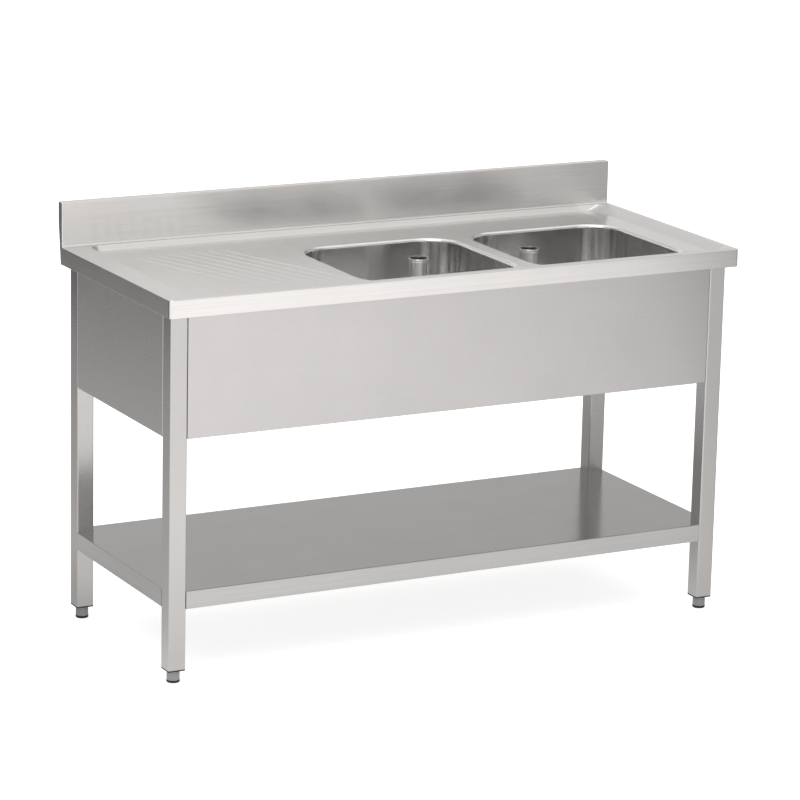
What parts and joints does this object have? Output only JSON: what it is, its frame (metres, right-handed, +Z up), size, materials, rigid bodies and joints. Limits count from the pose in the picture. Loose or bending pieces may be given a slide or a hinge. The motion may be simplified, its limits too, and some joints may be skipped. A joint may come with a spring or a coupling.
{
  "type": "kitchen sink unit",
  "caption": "Free-standing stainless steel sink unit: ribbed drainboard, deep bowls with standpipes, upstand, front apron, undershelf and screw feet.",
  "frame": {"origin": "on the floor, under the middle of the worktop's outline", "axes": "+X along the length to the right, +Y towards the wall, +Z up"},
  "size_m": [1.4, 0.6, 0.95],
  "materials": {
    "worktop_steel": "fine brushed along the length, satin",
    "bowl_steel": "deep-drawn, soft satin with polished rim",
    "panel_steel": "fine brushed along the length",
    "leg_steel": "brushed along the tube",
    "shelf_steel": "brushed along the length, glossy satin",
    "stiffener_steel": "mill finish",
    "drain_steel": "polished",
    "pipe_chrome": "polished",
    "foot_steel": "turned, satin",
    "seal_rubber": "matt",
    "nut_plastic": "matt",
    "cap_plastic": "matt",
    "sole_plastic": "matt"
  },
  "bodies": {
    "frame": {"worktop": "worktop_steel", "apron_front": "panel_steel", "panel_left": "panel_steel", "panel_right": "panel_steel", "rail_rear": "panel_steel", "stiffener_top_left": "stiffener_steel", "stiffener_top_mid": "stiffener_steel", "stiffener_top_back": "stiffener_steel", "stiffener_shelf": "stiffener_steel", "undershelf": "shelf_steel", "bowl_left": "bowl_steel", "drain_flange_left": "drain_steel", "drain_gasket_left": "seal_rubber", "drain_nut_left": "nut_plastic", "bowl_right": "bowl_steel", "drain_flange_right": "drain_steel", "drain_gasket_right": "seal_rubber", "drain_nut_right": "nut_plastic", "leg_front_left": "leg_steel", "leg_cap_front_left": "cap_plastic", "leg_front_right": "leg_steel", "leg_cap_front_right": "cap_plastic", "leg_rear_left": "leg_steel", "leg_cap_rear_left": "cap_plastic", "leg_rear_right": "leg_steel", "leg_cap_rear_right": "cap_plastic"},
    "standpipe_left": {"standpipe_left": "pipe_chrome", "standpipe_ring_left": "seal_rubber"},
    "standpipe_right": {"standpipe_right": "pipe_chrome", "standpipe_ring_right": "seal_rubber"},
    "sole_front_left": {"foot_sole_front_left": "sole_plastic"},
    "foot_front_left": {"foot_front_left": "foot_steel"},
    "sole_front_right": {"foot_sole_front_right": "sole_plastic"},
    "foot_front_right": {"foot_front_right": "foot_steel"},
    "sole_rear_left": {"foot_sole_rear_left": "sole_plastic"},
    "foot_rear_left": {"foot_rear_left": "foot_steel"},
    "sole_rear_right": {"foot_sole_rear_right": "sole_plastic"},
    "foot_rear_right": {"foot_rear_right": "foot_steel"}
  },
  "joints": [
    {"name": "standpipe_lift_left", "type": "slide", "parent": "frame", "child": "standpipe_left", "axis": [0, 0, 1], "range_m": [0, 0.26]},
    {"name": "standpipe_lift_right", "type": "slide", "parent": "frame", "child": "standpipe_right", "axis": [0, 0, 1], "range_m": [0, 0.26]},
    {"name": "foot_extend_front_left", "type": "slide", "parent": "frame", "child": "sole_front_left", "axis": [0, 0, -1], "range_m": [-0.00151, 0.02001]},
    {"name": "foot_turn_front_left", "type": "hinge", "parent": "sole_front_left", "child": "foot_front_left", "pos_m": [-0.664, -0.25, 0.03], "axis": [0, 0, -1], "range_deg": [-360, 4800]},
    {"name": "foot_extend_front_right", "type": "slide", "parent": "frame", "child": "sole_front_right", "axis": [0, 0, -1], "range_m": [-0.00151, 0.02001]},
    {"name": "foot_turn_front_right", "type": "hinge", "parent": "sole_front_right", "child": "foot_front_right", "pos_m": [0.664, -0.25, 0.03], "axis": [0, 0, -1], "range_deg": [-360, 4800]},
    {"name": "foot_extend_rear_left", "type": "slide", "parent": "frame", "child": "sole_rear_left", "axis": [0, 0, -1], "range_m": [-0.00151, 0.02001]},
    {"name": "foot_turn_rear_left", "type": "hinge", "parent": "sole_rear_left", "child": "foot_rear_left", "pos_m": [-0.664, 0.25, 0.03], "axis": [0, 0, -1], "range_deg": [-360, 4800]},
    {"name": "foot_extend_rear_right", "type": "slide", "parent": "frame", "child": "sole_rear_right", "axis": [0, 0, -1], "range_m": [-0.00151, 0.02001]},
    {"name": "foot_turn_rear_right", "type": "hinge", "parent": "sole_rear_right", "child": "foot_rear_right", "pos_m": [0.664, 0.25, 0.03], "axis": [0, 0, -1], "range_deg": [-360, 4800]}
  ],
  "couplings": [
    {"joint": "foot_extend_front_left", "follows": "foot_turn_front_left", "m_per_rad": 0.00023873},
    {"joint": "foot_extend_front_right", "follows": "foot_turn_front_right", "m_per_rad": 0.00023873},
    {"joint": "foot_extend_rear_left", "follows": "foot_turn_rear_left", "m_per_rad": 0.00023873},
    {"joint": "foot_extend_rear_right", "follows": "foot_turn_rear_right", "m_per_rad": 0.00023873}
  ]
}
